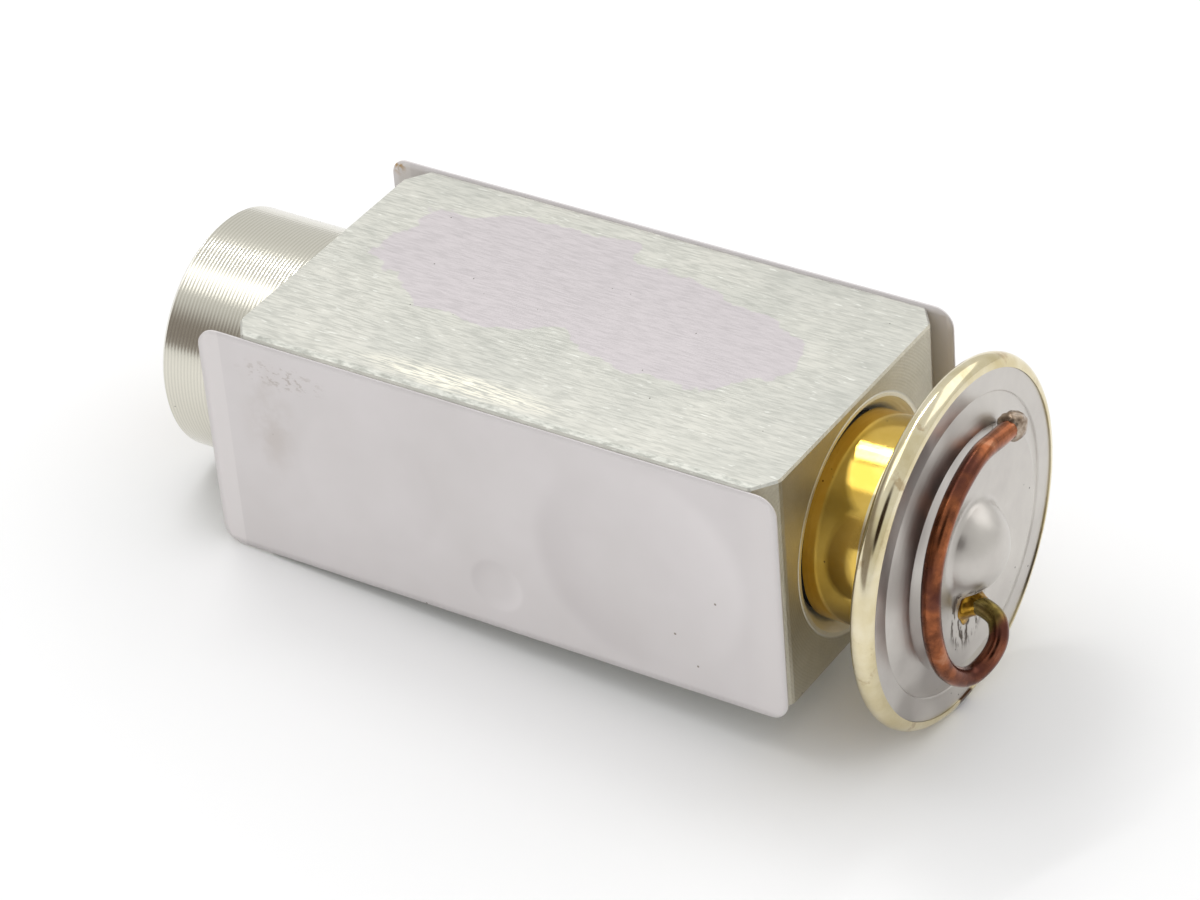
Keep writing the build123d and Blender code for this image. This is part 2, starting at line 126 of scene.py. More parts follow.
# solder drop and braze: lumps in a metre, coarse and fine on the drop, out and up on the braze
DROP_LUMPS = (1100, 2600)
BRAZE_LUMPS = (700, 1300)
BRAZE_SWELL = 0.3        # of the braze's radius
BRAZE_RIPPLE = 0.15 * MM
BRAZE_STEPS = 10         # from the cover up the capillary
BRAZE_SIDES = 48         # round the capillary
BRAZE_FLARE = 2.2        # how sharply the braze spreads at the cover

FLOOR_REACH = 3.0        # from the middle of the floor to its edges, in metres

# lights in the floor's frame, all aimed at the origin: name, place, size, watts
LIGHTS = (
    ("ceiling_tube_a", (-0.33, 0.25, 0.60), (0.3, 0.018), 0.5),
    ("ceiling_tube_b", (-0.33, 0.13, 0.62), (0.3, 0.018), 0.5),
    ("left_window", (-0.34, -0.16, 0.61), (0.3, 0.4), 0.5),
    ("back_softbox", (0.3, 0.6, 0.6), (0.9, 0.6), 1.3),
)


class FilmSettings(bpy.types.PropertyGroup):
    """The peel-off films that keep dirt out of the ports"""
    thickness: FloatProperty(
        name="Thickness", description="Thickness of the film and its adhesive",
        default=0.0002, unit="LENGTH")
    corner: FloatProperty(
        name="Corner radius", description="Radius of the film's cut corners",
        default=0.002, unit="LENGTH")
    dish: FloatProperty(
        name="Dish", description="How far the film is pressed into each port",
        default=0.00022, unit="LENGTH")
    curl: FloatProperty(
        name="Curl", description="How far the free edge stands off the block",
        default=0.0002, unit="LENGTH")
    cell: FloatProperty(
        name="Cell", description="Spacing of the mesh lines on the film",
        default=0.0008, unit="LENGTH")


class TubeSettings(bpy.types.PropertyGroup):
    """The capillary curled on the power head"""
    radius: FloatProperty(
        name="Radius", description="Outer radius of the capillary",
        default=0.00095, unit="LENGTH")
    sides: IntProperty(
        name="Sides", description="Faces round the capillary in a quarter turn", default=6)


class SolderSettings(bpy.types.PropertyGroup):
    """Solder drop at the capillary's end and braze at its foot"""
    drop_radius: FloatProperty(
        name="Drop radius", description="Radius of the drop that closes the tube",
        default=0.0016, unit="LENGTH")
    drop_roughness: FloatProperty(
        name="Drop lumps", description="Height of the lumps on the drop",
        default=0.00022, unit="LENGTH")
    braze_radius: FloatProperty(
        name="Braze radius", description="Radius of the braze on the cover",
        default=0.0021, unit="LENGTH")
    braze_height: FloatProperty(
        name="Braze height", description="Height of the braze up the tube",
        default=0.0017, unit="LENGTH")


class SpringSettings(bpy.types.PropertyGroup):
    """The superheat spring between the adjusting screw and the ball's carrier"""
    wire: FloatProperty(
        name="Wire radius", description="Radius of the spring's wire",
        default=0.00065, unit="LENGTH")
    turns: FloatProperty(
        name="Turns", description="Turns of wire from one ground end to the other", default=5.5)
    steps: IntProperty(
        name="Steps", description="Steps of the coil in one turn", default=48)
    sides: IntProperty(
        name="Sides", description="Faces round the wire", default=16)


class FinishSettings(bpy.types.PropertyGroup):
    """Machining marks that the metal pieces show"""
    boss_groove: FloatProperty(
        name="Boss groove", description="Pitch of the turning grooves on the boss",
        default=0.0004, unit="LENGTH")
    face_groove: FloatProperty(
        name="Face groove", description="Pitch of the turning rings on the block's ends",
        default=0.0003, unit="LENGTH")
    collar_groove: FloatProperty(
        name="Collar groove", description="Pitch of the fine turning lines on the brass",
        default=0.00012, unit="LENGTH")


class StageSettings(bpy.types.PropertyGroup):
    """Floor, lights and camera"""
    head_tilt: FloatProperty(
        name="Head tilt", description="Slope of the valve as it lies on its boss and rim",
        default=radians(4.03), subtype="ANGLE")
    side_tilt: FloatProperty(
        name="Side tilt", description="Roll of the valve onto its near lower edge",
        default=radians(1.35), subtype="ANGLE")
    azimuth: FloatProperty(
        name="Azimuth", description="Camera's turn round the valve",
        default=radians(35.04), subtype="ANGLE")
    elevation: FloatProperty(
        name="Elevation", description="Camera's height over the valve's own level",
        default=radians(35.03), subtype="ANGLE")
    roll: FloatProperty(
        name="Roll", description="Camera's roll against the valve's own level",
        default=radians(-5.03), subtype="ANGLE")
    distance: FloatProperty(
        name="Distance", description="Camera's distance from what it looks at",
        default=0.44, unit="LENGTH")
    aim: FloatVectorProperty(
        name="Aim", description="The point at the middle of the view",
        default=(0.00298, -0.00193, -0.00015), subtype="XYZ")
    lens: FloatProperty(
        name="Lens", description="Focal length in millimetres", default=137.66, unit="CAMERA")


# ---------------------------------------------------------------- helpers


def colour(code):
    """Linear RGBA of an sRGB hex value."""
    parts = [int(code[i:i + 2], 16) / 255 for i in (1, 3, 5)]
    linear = [c / 12.92 if c <= 0.04045 else ((c + 0.055) / 1.055) ** 2.4 for c in parts]
    return (*linear, 1.0)


def add(tree, kind, inputs=None, **settings):
    """A new node with its settings, its socket values and the links into it."""
    node = tree.nodes.new(kind)
    for name, value in settings.items():
        setattr(node, name, value)
    for socket, value in (inputs or {}).items():
        if isinstance(value, bpy.types.NodeSocket):
            tree.links.new(value, node.inputs[socket])
        else:
            node.inputs[socket].default_value = value
    return node


def new_material(name):
    """Material with an empty tree, its shader and the object coordinates."""
    material = bpy.data.materials.new(name)
    material.use_nodes = True
    tree = material.node_tree
    tree.nodes.clear()
    shader = add(tree, "ShaderNodeBsdfPrincipled")
    add(tree, "ShaderNodeOutputMaterial", {"Surface": shader.outputs[0]})
    place = add(tree, "ShaderNodeTexCoord").outputs["Object"]
    return material, tree, shader, place


def ramp(tree, factor, *stops):
    """Colour ramp through (position, hex colour) stops."""
    node = add(tree, "ShaderNodeValToRGB", {"Fac": factor})
    elements = node.color_ramp.elements
    while len(elements) < len(stops):
        elements.new(0.5)
    for element, (position, code) in zip(elements, stops):
        element.position = position
        element.color = colour(code)
    return node.outputs["Color"]


def finish_piece(name, bm, material, body=None):
    """Mesh object from a bmesh, smooth, in its material and riding on a body if one is given."""
    mesh = bpy.data.meshes.new(name)
    bm.to_mesh(mesh)
    bm.free()
    mesh.polygons.foreach_set("use_smooth", [True] * len(mesh.polygons))
    piece = bpy.data.objects.new(name, mesh)
    bpy.context.scene.collection.objects.link(piece)
    mesh.materials.append(material)
    if body:
        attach(piece, body)
    return piece


def dress(material, *nodes):
    """Gives the named CAD nodes one material."""
    for node in nodes:
        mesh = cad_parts[node].data
        mesh.materials.clear()
        mesh.materials.append(material)


def maths(tree, operation, first, second=0.0):
    """Result of one maths node; a one-sided operation leaves out the second value."""
    return add(tree, "ShaderNodeMath", {0: first, 1: second}, operation=operation).outputs[0]


def times(tree, first, second):
    """Product of two values, also of two masks."""
    return maths(tree, "MULTIPLY", first, second)


def vector(tree, operation, first, second=(0, 0, 0), output="Vector"):
    """Result of one vector maths node."""
    return add(tree, "ShaderNodeVectorMath", {
        0: first, 1: second}, operation=operation).outputs[output]


def split(tree, value):
    """The X, Y and Z of a vector, by name."""
    return add(tree, "ShaderNodeSeparateXYZ", {0: value}).outputs


def axis_distance(tree, place):
    """Distance from the valve axis."""
    return vector(tree, "LENGTH", vector(tree, "MULTIPLY", place, (0, 1, 1)), output="Value")


def rise(tree, value, start, end, low=0.0, high=1.0):
    """Smooth step of a value from low at the start to high at the end."""
    return add(tree, "ShaderNodeMapRange", {
        "Value": value, "From Min": start, "From Max": end, "To Min": low, "To Max": high},
        interpolation_type="SMOOTHSTEP").outputs[0]


def mix(tree, factor, first, second):
    """Mix of two plain values."""
    return add(tree, "ShaderNodeMix", {
        "Factor": factor, "A": first, "B": second}, data_type="FLOAT").outputs["Result"]


def blend(tree, factor, first, second):
    """Mix of two colours; a hex value may stand for either."""
    ends = [colour(end) if isinstance(end, str) else end for end in (first, second)]
    return add(tree, "ShaderNodeMix", {
        "Factor": factor, "A": ends[0], "B": ends[1]}, data_type="RGBA").outputs["Result"]


def lines(tree, place, pitch, kind, distortion=0.0, detail=2.0, detail_scale=1.0):
    """Turning lines at a pitch: BANDS along the valve axis or RINGS round it."""
    return add(tree, "ShaderNodeTexWave", {
        "Vector": place, "Scale": pi / 10 / pitch, "Distortion": distortion, "Detail": detail,
        "Detail Scale": detail_scale}, wave_type=kind).outputs["Fac"]


def clouds(tree, place, per_mm, detail=3.0, stretch=(1, 1, 1)):
    """Noise with so many lumps in a millimetre; a stretch below 1 draws them out along
    that axis."""
    drawn = add(tree, "ShaderNodeMapping", {
        "Vector": place, "Scale": [per_mm / MM * share for share in stretch]})
    return add(tree, "ShaderNodeTexNoise", {
        "Vector": drawn.outputs[0], "Scale": 1.0, "Detail": detail, "Roughness": 0.6}).outputs["Fac"]


def specks(tree, place, spacing, radius):
    """Small round spots, at random about one per spacing."""
    near = add(tree, "ShaderNodeTexVoronoi", {
        "Vector": place, "Scale": 1 / spacing}).outputs["Distance"]
    return rise(tree, near, radius / spacing, 0.5 * radius / spacing)


def round_spot(tree, place, centre, reach):
    """1 at a centre, falling to 0 on the ellipsoid with the given half-axes."""
    offset = [-at / half for at, half in zip(centre, reach)]
    local = add(tree, "ShaderNodeMapping", {
        "Vector": place, "Location": offset, "Scale": [1 / half for half in reach]})
    return rise(tree, vector(tree, "LENGTH", local.outputs[0], output="Value"), 1.0, 0.2)


def film_mark(tree, place, mark):
    """Spot on the front film."""
    (x, z), (wide, high) = mark
    return round_spot(tree, place, (x * MM, block_low.y, z * MM), (wide * MM, 2 * MM, high * MM))


def bumped(tree, shader, height, strength, distance, under=None):
    """Gives the shader a bump of the given height pattern, over a coarser one if given."""
    inputs = {"Height": height, "Strength": strength, "Distance": distance}
    if under:
        inputs["Normal"] = under
    bump = add(tree, "ShaderNodeBump", inputs)
    tree.links.new(bump.outputs[0], shader.inputs["Normal"])


def paint(tree, shader, tone, roughness, metallic=1.0):
    """Links or sets the shader's colour, roughness and metallic share."""
    for name, value in (("Base Color", tone), ("Roughness", roughness), ("Metallic", metallic)):
        if isinstance(value, bpy.types.NodeSocket):
            tree.links.new(value, shader.inputs[name])
        else:
            shader.inputs[name].default_value = value


# ---------------------------------------------------------------- materials


def bar_aluminium():
    """Drawn aluminium bar with turned ends: pale greenish grey with short fine streaks along
    the bar, painted glints, painted highlights along the top's near edge, a smoother lilac patch on
    top where a label was peeled, a few dark specks, grooves round the boss with painted shade in
    their valleys, rings on the end faces, which catch the light in lines, and painted light on the
    head's lip and countersink."""
    finish = bpy.context.scene.valve_finish
    material, tree, shader, place = new_material("drawn_bar_aluminium")
    at = split(tree, place)
    facing = split(tree, add(tree, "ShaderNodeNewGeometry").outputs["True Normal"])
    radius = axis_distance(tree, place)

    # masks of the block's parts
    is_end = maths(tree, "GREATER_THAN", maths(tree, "ABSOLUTE", facing["X"]), 0.6)
    is_boss = maths(tree, "LESS_THAN", at["X"], boss_end - 0.1 * MM)
    is_turned = maths(tree, "MAXIMUM", is_end, is_boss)
    is_drawn = maths(tree, "SUBTRACT", 1.0, is_turned)
    is_top = maths(tree, "GREATER_THAN", facing["Z"], 0.9)
    is_lip = times(tree, maths(tree, "GREATER_THAN", at["X"], head_end - 0.05 * MM),
                   rise(tree, radius, LIP_RADIUS + 0.15 * MM, LIP_RADIUS - 0.15 * MM))
    sink_floor = head_end - COUNTERSINK_DEPTH
    is_sunk = times(
        tree, rise(tree, radius, COUNTERSINK_RADIUS + 0.05 * MM, COUNTERSINK_RADIUS - 0.05 * MM),
        rise(tree, at["X"], sink_floor - 0.1 * MM, sink_floor + 0.1 * MM))
    label = maths(tree, "MAXIMUM", *(
        round_spot(tree, place, (x * MM, y * MM, block_high.z), (along * MM, wide * MM, 9 * MM))
        for (x, y), (along, wide) in LABEL_PATCHES))
    ragged = times(tree, clouds(tree, place, 0.11, 5.0), 1.1)
    is_peeled = times(tree, is_top, rise(tree, maths(tree, "ADD", label, ragged), 0.95, 0.99))

    # relief: streaks on the bar, grooves and rings where it is turned, the lip at the head
    grooves = lines(tree, place, finish.boss_groove, "BANDS")
    rings = lines(tree, place, finish.face_groove, "RINGS", 0.3, 2.0, 0.5)
    streaks = clouds(tree, place, 5.2, 3.0, (0.09, 1, 1))
    height = mix(tree, is_turned, streaks, mix(tree, is_end, grooves, rings))
    strength = maths(tree, "SUBTRACT", rise(tree, is_turned, 0, 1, 0.18, 0.4),
                     times(tree, is_peeled, 0.14))
    lip_bump = add(tree, "ShaderNodeBump", {"Height": is_lip, "Strength": 1.0, "Distance": 0.2 * MM})
    bumped(tree, shader, height, strength, 0.02 * MM, lip_bump.outputs[0])

    # tone of the drawn sides: streaks, painted glints, the peeled label, a painted highlight along
    # the top's near edge
    mottle = clouds(tree, place, 0.09, 5.0)
    base = ramp(tree, mottle, (0.35, "#CFCFC8"), (0.65, "#DBDAD2"))
    dull = times(tree, rise(tree, streaks, 0.62, 0.36, 0, 0.3), is_drawn)
    streaked = blend(tree, dull, base, "#A6A9A2")
    # painted glints: short bright dashes on the drawn sides stand for light caught along the streaks
    painted_glints = rise(tree, clouds(tree, place, 3.6, 1.0, (0.2, 1, 1)), 0.66, 0.76, 0, 0.5)
    glinting = blend(tree, times(tree, painted_glints, is_drawn), streaked, "#F7F8F2")
    patched = blend(tree, times(tree, is_peeled, 0.85), glinting, "#CEC7CB")
    # painted highlight: a warm bright band along the top's near edge, where the rounded edge catches
    # the light
    near_edge = round_spot(tree, place, (-4 * MM, block_low.y + 2.6 * MM, block_high.z),
                           (14 * MM, 2.2 * MM, 4 * MM))
    painted_edge_highlight = times(tree, rise(tree, streaks, 0.4, 0.6), times(tree, is_top, near_edge))
    edge_highlighted = blend(tree, painted_edge_highlight, patched, "#FAF6E6")
    # the top's near edge break: a ragged burr, painted in light and dark as glints, with a painted
    # light line where the chamfer catches the light
    edge = times(tree, is_top, rise(
        tree, at["Y"], block_low.y + 1.1 * MM, block_low.y + 0.8 * MM))
    burr_and_glints = ramp(tree, clouds(tree, place, 1.9, 3.0, (0.5, 1, 1)),
                   (0.36, "#A4A69F"), (0.5, "#CDCFC8"), (0.64, "#E9E9E2"))
    edged = blend(tree, times(tree, edge, 0.6), edge_highlighted, burr_and_glints)

    # tone of the turned ends and the boss, with a painted highlight on the lip, painted shade in the
    # boss's grooves and painted light in the countersink
    ringed = ramp(tree, mottle, (0.35, "#BAB5A6"), (0.65, "#CCC7B8"))
    # painted highlight: the lip round the countersink is painted lighter where its bevel catches the
    # light
    outside = rise(tree, radius, COUNTERSINK_RADIUS - 0.15 * MM, COUNTERSINK_RADIUS + 0.05 * MM)
    lip_highlighted = blend(tree, times(tree, is_lip, outside), ringed, "#E4E0D2")
    # painted shade: the boss is painted darker in the valleys of its grooves
    groove_shaded = blend(tree, rise(tree, grooves, 0.7, 0.1, 0, 0.25), "#DBD8CC", "#A29E94")
    faced = blend(tree, is_boss, blend(tree, is_end, edged, lip_highlighted), groove_shaded)
    # painted light: the countersink is painted near white and given less metal, to lift the shade
    # that falls in it
    sink_lightened = blend(tree, is_sunk, faced, "#EFECE0")
    marked = blend(tree, specks(tree, place, 2.5 * MM, 0.1 * MM), sink_lightened, "#6B6A62")

    rough = maths(tree, "ADD", rise(tree, streaks, 0.3, 0.7, 0.34, 0.48), times(tree, is_end, 0.12))
    paint(tree, shader, marked, mix(tree, is_boss, rough, 0.18), rise(tree, is_sunk, 0, 1, 1, 0.25))
    return material


def impression(tree, place, spot, light):
    """Signed shade of a film pressed round a hole: its side towards the light (x, z) is
    lighter and the other darker, strongest just inside the hole's edge."""
    x, z, radius = spot
    local = add(tree, "ShaderNodeMapping", {
        "Vector": place, "Location": (-x / radius, 0, -z / radius),
        "Scale": (1 / radius, 0, 1 / radius)}).outputs[0]
    far = vector(tree, "LENGTH", local, output="Value")
    side = vector(tree, "DOT_PRODUCT", local, (light[0], 0, light[1]), "Value")
    return times(tree, side, times(tree, rise(tree, far, 0.25, 0.88), rise(tree, far, 1.1, 0.9)))


def polyethylene_film():
    """Adhesive polyethylene film, matt lilac-grey and opaque: lighter where no metal backs
    it, shaded where the ports press it in, with a greasy smudge, a few dark specks and a
    golden brown stain at one corner."""
    material, tree, shader, place = new_material("polyethylene_film")
    along = split(tree, place)["X"]
    free = rise(tree, along, boss_end - 0.75 * MM, boss_end - 0.95 * MM)
    unbacked = rise(tree, along, head_end - 3.5 * MM, head_end - 0.5 * MM, 0, 0.6)
    tone = ramp(tree, clouds(tree, place, 0.06), (0.3, "#CFCAC9"), (0.7, "#D7D2D2"))
    pressed = 0.0
    for spot, light in IMPRESSIONS:
        pressed = maths(tree, "ADD", impression(tree, place, spot, light), pressed)
    lit = times(tree, maths(tree, "MAXIMUM", pressed, 0.0), 0.5)
    shaded = times(tree, maths(tree, "MINIMUM", pressed, 0.0), -0.3)
    dented = blend(tree, shaded, blend(tree, lit, tone, "#E4DFDF"), "#B4ADAE")
    tint = blend(tree, maths(tree, "MAXIMUM", free, unbacked), dented, "#DAD5D4")
    column = times(tree, rise(tree, clouds(tree, place, 0.35, 5.0), 0.3, 0.7, 0, 0.5),
                   film_mark(tree, place, FILM_COLUMN))
    clouded = blend(tree, column, tint, "#BBB2AC")
    smudge = times(tree, rise(tree, clouds(tree, place, 1.9, 5.0, (0.7, 1, 1.2)), 0.53, 0.64),
                   film_mark(tree, place, FILM_SMUDGE))
    smeared = blend(tree, times(tree, smudge, 0.5), clouded, "#948679")
    rear_corner = round_spot(tree, place, (boss_end - 2.6 * MM, block_high.y, block_high.z),
                             (1.6 * MM, 2 * MM, 2 * MM))
    stain = times(tree, rise(tree, clouds(tree, place, 1.2), 0.45, 0.6), rear_corner)
    stained = blend(tree, stain, smeared, "#B08A4C")
    dirty = blend(tree, specks(tree, place, 4.5 * MM, 0.17 * MM), stained, "#877C72")
    bumped(tree, shader, clouds(tree, place, 1.5, 2.0), 0.12, 0.02 * MM)
    paint(tree, shader, dirty, 0.42, 0.0)
    return material


def turned_metal(name, light, dark, roughness, pitch, depth):
    """Turned and polished metal: fine lines round the axis, a slow change of tone and
    small dark specks of dirt."""
    material, tree, shader, place = new_material(name)
    cloud = clouds(tree, place, 0.16, 4.0)
    tone = ramp(tree, cloud, (0.32, dark), (0.66, light))
    dotted = blend(tree, specks(tree, place, 2.2 * MM, 0.11 * MM), tone, "#2E2415")
    bumped(tree, shader, lines(tree, place, pitch, "BANDS", 1.5, 2.0, 1.2), depth, 0.01 * MM)
    paint(tree, shader, dotted, rise(tree, cloud, 0, 1, roughness * 0.8, roughness * 1.25))
    return material


def rolled_brass():
    """Pale brass of the rolled rim, polished by the rolling tool, with faint draw lines
    along the rim, brown tarnish in patches and one spot burnt by the torch."""
    material, tree, shader, place = new_material("rolled_rim_brass")
    cloud = clouds(tree, place, 0.2, 4.0)
    tone = ramp(tree, cloud, (0.3, "#CDBE92"), (0.5, "#DCD0AC"), (0.7, "#E8DFC4"))
    tarnish = rise(tree, clouds(tree, place, 0.42, 4.0), 0.6, 0.72, 0, 0.5)
    browned = blend(tree, tarnish, tone, "#9C7A45")
    burnt = round_spot(
        tree, place, (shell_high.x, -0.8 * MM, -17.5 * MM), (2.2 * MM, 2.0 * MM, 1.8 * MM))
    spotted = blend(tree, rise(tree, burnt, 0.25, 0.6), browned, "#4A2E14")
    bumped(tree, shader, lines(tree, place, 0.3 * MM, "RINGS", 2.0), 0.08, 0.01 * MM)
    paint(tree, shader, spotted, rise(tree, cloud, 0.3, 0.7, 0.09, 0.16))
    return material


def pressed_steel():
    """Pressed stainless sheet, satin and faintly lilac, with rings left by the drawing tool, painted
    shade in patches on its near outer band, and soot and flux from the torch below the braze."""
    material, tree, shader, place = new_material("pressed_stainless_steel")
    cloud = clouds(tree, place, 0.13, 4.0)
    bright = ramp(tree, cloud, (0.3, "#BDB8B3"), (0.7, "#D2CEC8"))
    # painted shade: the outer band on the near side is painted darker, in patches
    inlet_side = rise(tree, split(tree, place)["Y"], 3 * MM, -6 * MM)
    rim = rise(tree, axis_distance(tree, place), 8 * MM, 12 * MM)
    painted_side_shade = rise(tree, clouds(tree, place, 0.15, 1.0, (1, 1, 0.6)), 0.40, 0.62, 0, 0.55)
    tone = blend(tree, times(tree, painted_side_shade, times(tree, rim, inlet_side)), bright, "#847C77")

    # soot and flux round the capillary's foot, and soot below the solder drop
    x, y, z = foot_on_cover
    streaky = clouds(tree, place, 0.9, 4.0, (1, 1.6, 0.5))
    near_foot = round_spot(tree, place, (x + 0.5 * MM, y - 0.4 * MM, z - 0.6 * MM),
                           (4 * MM, 4.4 * MM, 5.4 * MM))
    below_drop = round_spot(tree, place, (x, drop_low.y + 0.6 * MM, drop_low.z + 0.2 * MM),
                            (2 * MM, 1.2 * MM, 2.4 * MM))
    over_foot = round_spot(tree, place, (x + 0.6 * MM, y + 0.6 * MM, z + 2.2 * MM),
                           (3 * MM, 3.4 * MM, 2.8 * MM))
    soot = maths(tree, "MAXIMUM",
                 times(tree, rise(tree, streaky, 0.47, 0.56), rise(tree, near_foot, 0.02, 0.45)),
                 times(tree, rise(tree, streaky, 0.42, 0.56, 0, 0.8), below_drop))
    flux = times(tree, rise(tree, clouds(tree, place, 0.7, 3.0), 0.36, 0.52, 0, 0.9), over_foot)
    sooted = blend(tree, soot, blend(tree, flux, tone, "#D9D4CA"), "#54483E")
    dotted = blend(tree, specks(tree, place, 2.4 * MM, 0.12 * MM), sooted, "#4A4542")

    bumped(tree, shader, lines(tree, place, 0.5 * MM, "RINGS", 2.0, 3.0), 0.08, 0.02 * MM)
    dusty = maths(tree, "MAXIMUM", soot, flux)
    rough = maths(tree, "ADD", rise(tree, cloud, 0.3, 0.7, 0.3, 0.4), times(tree, dusty, 0.3))
    paint(tree, shader, dotted, rough, maths(tree, "SUBTRACT", 1.0, dusty))
    return material


def annealed_copper():
    """Bare copper capillary, browned by the torch: red-brown with orange, purple and dark
    patches, and olive gold where the braze ran up its foot."""
    material, tree, shader, place = new_material("annealed_copper")
    cloud = clouds(tree, place, 0.3, 4.0)
    tone = ramp(tree, cloud, (0.3, "#4E2B1F"), (0.45, "#74452F"), (0.58, "#9C5D3C"),
                (0.72, "#BD8768"))
    patches = rise(tree, clouds(tree, place, 0.19, 2.0), 0.46, 0.60, 0, 0.6)
    purple = blend(tree, patches, tone, "#5C3833")
    x, y, z = foot_on_cover
    tinned = round_spot(tree, place, (x + 1.5 * MM, y - 0.6 * MM, z - 0.6 * MM),
                        (3.6 * MM, 3.2 * MM, 3.2 * MM))
    olive = ramp(tree, cloud, (0.34, "#4F4020"), (0.5, "#8B7A42"), (0.66, "#B9A970"))
    golden = blend(tree, rise(tree, tinned, 0.1, 0.5), purple, olive)
    bumped(tree, shader, clouds(tree, place, 1.6), 0.25, 0.03 * MM)
    paint(tree, shader, golden, rise(tree, cloud, 0.3, 0.7, 0.32, 0.17))
    return material


def lumpy_metal(name, stops, roughness, grain_depth):
    """Cast or fused metal with a skin of flux: lumps, pits and tarnish."""
    material, tree, shader, place = new_material(name)
    tone = ramp(tree, clouds(tree, place, 0.75, 5.0), *stops)
    bumped(tree, shader, clouds(tree, place, 2.2), 0.5, grain_depth)
    paint(tree, shader, tone, roughness)
    return material


def nitrile_rubber():
    """Moulded nitrile rubber: near black, matt, with a faint bloom."""
    material, tree, shader, place = new_material("nitrile_rubber")
    bloom = clouds(tree, place, 0.6, 4.0)
    bumped(tree, shader, bloom, 0.2, 0.02 * MM)
    paint(tree, shader, ramp(tree, bloom, (0.35, "#1B1B1C"), (0.7, "#303033")), 0.55, 0.0)
    return material


# ---------------------------------------------------------------- pieces


class VALVE_OT_block(bpy.types.Operator):
    """Gives the valve block its drawn and turned aluminium"""
    bl_idname = "valve.block"
    bl_label = "Valve block"

    def execute(self, context):
        dress(bar_aluminium(), "valve_body")
        return {"FINISHED"}


class VALVE_OT_adjuster(bpy.types.Operator):
    """Dresses the adjusting screw and its seal ring"""
    bl_idname = "valve.adjuster"
    bl_label = "Adjusting screw"

    def execute(self, context):
        pitch = context.scene.valve_finish.collar_groove
        dress(turned_metal("turned_brass", "#D9B25A", "#B98B38", 0.22, pitch, 0.3), "adjusting_screw")
        dress(nitrile_rubber(), "adjuster_o_ring", "head_seal_ring", "rod_seal_ring")
        return {"FINISHED"}


class VALVE_OT_valve_train(bpy.types.Operator):
    """Dresses the ball, its carrier, the rods and the diaphragm's pad"""
    bl_idname = "valve.valve_train"
    bl_label = "Ball and rods"

    def execute(self, context):
        dress(turned_metal("ground_ball_steel", "#D5D7DA", "#BFC1C4", 0.08, 0.2 * MM, 0.03),
              "valve_ball")
        dress(turned_metal("ground_rod_steel", "#C9CBCD", "#AEB0B3", 0.18, 0.1 * MM, 0.2), "push_rod")
        dress(turned_metal("spring_sheet_steel", "#9C9DA0", "#6E6F73", 0.3, 0.3 * MM, 0.2),
              "carrier_damper")
        dress(turned_metal("machined_carrier_brass", "#D2AC59", "#A9802F", 0.28, 0.15 * MM, 0.3),
              "ball_carrier", "rod_seal_retainer")
        dress(turned_metal("turned_rod_aluminium", "#CFD2CF", "#B4B7B3", 0.3, 0.2 * MM, 0.4),
              "sensing_rod", "diaphragm_pad")
        dress(turned_metal("diaphragm_steel", "#CDCBC8", "#B5B3B0", 0.2, 0.4 * MM, 0.1), "diaphragm")
        return {"FINISHED"}


def coil_half(name, start, end, first_turn, ground_x, material):
    """Half of the spring's coil from start to end along X, with its outer end ground flat."""
    spring = bpy.context.scene.valve_spring
    turns = spring.turns / 2
    steps = round(turns * spring.steps)
    bm = bmesh.new()
    bmesh.ops.create_circle(bm, segments=spring.sides, radius=spring.wire)
    bmesh.ops.rotate(bm, verts=bm.verts[:], matrix=Matrix.Rotation(pi / 2, 3, "X"))
    bmesh.ops.translate(bm, verts=bm.verts[:], vec=(start, 0, spring_high.z - spring.wire))
    bmesh.ops.rotate(bm, verts=bm.verts[:], matrix=Matrix.Rotation(2 * pi * first_turn, 3, "X"))
    bmesh.ops.spin(bm, geom=bm.verts[:] + bm.edges[:], cent=(0, 0, 0), axis=(1, 0, 0),
                   dvec=((end - start) / steps, 0, 0), angle=2 * pi * turns, steps=steps,
                   use_merge=False, use_duplicate=False)
    bmesh.ops.holes_fill(bm, edges=bm.edges[:], sides=0)
    outer = ground_x > start
    bmesh.ops.bisect_plane(bm, geom=bm.verts[:] + bm.edges[:] + bm.faces[:], dist=TOUCHING,
                           plane_co=(ground_x, 0, 0), plane_no=(1, 0, 0),
                           clear_outer=outer, clear_inner=not outer)
    bmesh.ops.holes_fill(bm, edges=bm.edges[:], sides=0)
    bmesh.ops.recalc_face_normals(bm, faces=bm.faces[:])
    return finish_piece(name, bm, material)


class VALVE_OT_spring(bpy.types.Operator):
    """Builds the spring in two halves, each with one of its ground ends"""
    bl_idname = "valve.spring"
    bl_label = "Superheat spring"

    def execute(self, context):
        spring = context.scene.valve_spring
        material = turned_metal("spring_wire_steel", "#A9AAAD", "#77787C", 0.28, 0.3 * MM, 0.2)
        start, end = spring_low.x, spring_high.x
        middle = (start + end) / 2
        screw_half = coil_half("spring_screw_half", start, middle, 0.0, start, material)
        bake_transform(screw_half)
        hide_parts("superheat_spring")
        carrier_half = coil_half("spring_carrier_half", middle, end, spring.turns / 2, end, material)
        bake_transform(carrier_half)
        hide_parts("superheat_spring")
        return {"FINISHED"}


class VALVE_OT_power_head(bpy.types.Operator):
    """Dresses the power head: collar, lower shell with its rolled rim, and cover"""
    bl_idname = "valve.power_head"
    bl_label = "Power head"

    def execute(self, context):
        pitch = context.scene.valve_finish.collar_groove
        dress(turned_metal("polished_brass", "#E8C76A", "#D8B24E", 0.09, pitch, 0.1), "head_collar")
        dress(rolled_brass(), "head_lower_shell")
        dress(pressed_steel(), "head_cover")
        return {"FINISHED"}


def film_press(point, spots, dish):
    """How far a film is pushed in at a point (x, z) by the hollows that it spans."""
    depth = 0.0
    for x, z, radius in spots:
        away = Vector((point[0] - x, point[1] - z)).length / radius
        if away < 1:
            depth = max(depth, dish * (1 - away ** 2) ** 0.5 * min(1.0, 4 * (1 - away)))
    return depth


